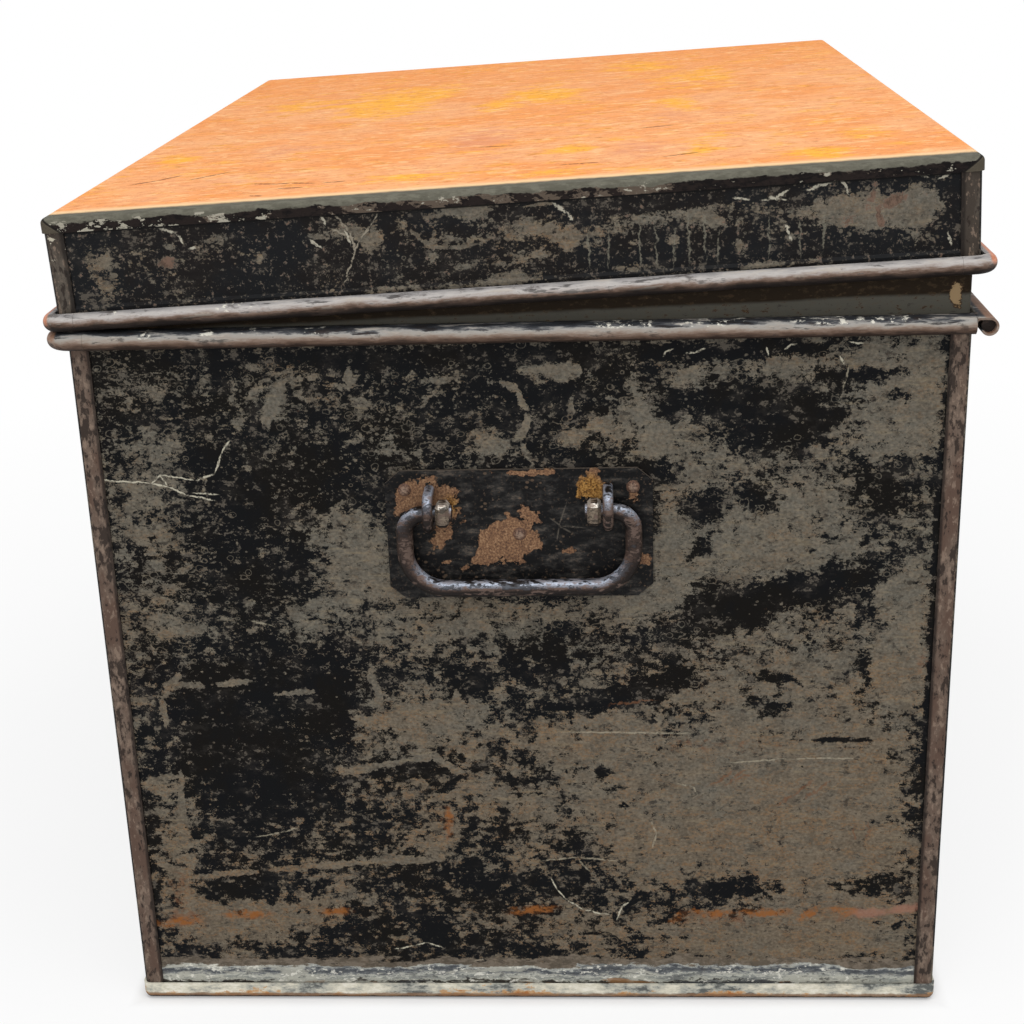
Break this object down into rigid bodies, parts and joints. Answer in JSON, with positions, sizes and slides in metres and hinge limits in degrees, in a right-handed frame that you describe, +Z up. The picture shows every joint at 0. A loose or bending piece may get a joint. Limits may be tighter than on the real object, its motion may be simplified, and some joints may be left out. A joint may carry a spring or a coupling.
{
  "type": "deed box",
  "caption": "Large old black japanned tin deed box with a hinged lid standing slightly ajar, wired rims, a drop handle on each end and a front lock.",
  "frame": {"origin": "centre of the base's footprint, at the level of the floor", "axes": "+X along the length, with one handle at each end; the lock side faces -Y and the hinges are at +Y; +Z up"},
  "size_m": [0.586, 0.4192, 0.4209],
  "materials": {
    "japanned_sheet": "worn black japanning over tinned sheet",
    "rusted_lid_sheet": "rusted and worn",
    "iron_wire": "dark iron wire",
    "tinned_sheet": "dull tinned sheet",
    "brass": "dull old brass",
    "lock_iron": "dark iron",
    "forged_iron": "worn forged iron",
    "handle_plate_iron": "black paint chipped to rust",
    "hinge_iron": "worn black iron"
  },
  "bodies": {
    "box": {"body_back_panel": "japanned_sheet", "body_front_panel": "japanned_sheet", "body_left_end": "japanned_sheet", "body_right_end": "japanned_sheet", "body_wire_back": "iron_wire", "body_wire_front": "iron_wire", "body_wire_left": "iron_wire", "body_wire_right": "iron_wire", "bottom_panel": "japanned_sheet", "escutcheon": "brass", "escutcheon_pins": "brass", "handle_left_inner_plate": "handle_plate_iron", "handle_left_plate": "handle_plate_iron", "handle_left_rivets": "forged_iron", "handle_left_staples": "forged_iron", "handle_right_inner_plate": "handle_plate_iron", "handle_right_plate": "handle_plate_iron", "handle_right_rivets": "forged_iron", "handle_right_staples": "forged_iron", "hinge_body_rivets": "hinge_iron", "hinge_left_body_leaf": "hinge_iron", "hinge_left_pin": "hinge_iron", "hinge_right_body_leaf": "hinge_iron", "hinge_right_pin": "hinge_iron", "lock_cap": "lock_iron", "lock_guide_post": "lock_iron", "lock_key_post": "lock_iron", "lock_plate": "lock_iron", "lock_rivets": "hinge_iron", "neck_collar": "tinned_sheet"},
    "lid": {"hinge_left_lid_leaf": "hinge_iron", "hinge_lid_rivets": "hinge_iron", "hinge_right_lid_leaf": "hinge_iron", "lid_back_panel": "japanned_sheet", "lid_catch": "hinge_iron", "lid_catch_rivets": "hinge_iron", "lid_front_panel": "japanned_sheet", "lid_left_end": "japanned_sheet", "lid_right_end": "japanned_sheet", "lid_top_panel": "rusted_lid_sheet", "lid_wire": "iron_wire", "lid_wire_back": "iron_wire"},
    "left_bail": {"handle_left_bail": "forged_iron", "handle_left_bail_knobs": "forged_iron"},
    "right_bail": {"handle_right_bail": "forged_iron", "handle_right_bail_knobs": "forged_iron"},
    "bolt": {"lock_bolt": "lock_iron", "lock_bolt_spring": "lock_iron"}
  },
  "joints": [
    {"name": "lid_hinge", "type": "hinge", "parent": "box", "child": "lid", "pos_m": [0, 0.2071, 0.353], "axis": [-1, 0, 0], "range_deg": [-2.5, 100]},
    {"name": "left_bail_swing", "type": "hinge", "parent": "box", "child": "left_bail", "pos_m": [-0.283, 0, 0.2665], "axis": [0, 1, 0], "range_deg": [-5.5, 184]},
    {"name": "right_bail_swing", "type": "hinge", "parent": "box", "child": "right_bail", "pos_m": [0.283, 0, 0.2665], "axis": [0, -1, 0], "range_deg": [-5.5, 184]},
    {"name": "bolt_slide", "type": "slide", "parent": "box", "child": "bolt", "axis": [1, 0, 0], "range_m": [0, 0.009]}
  ]
}
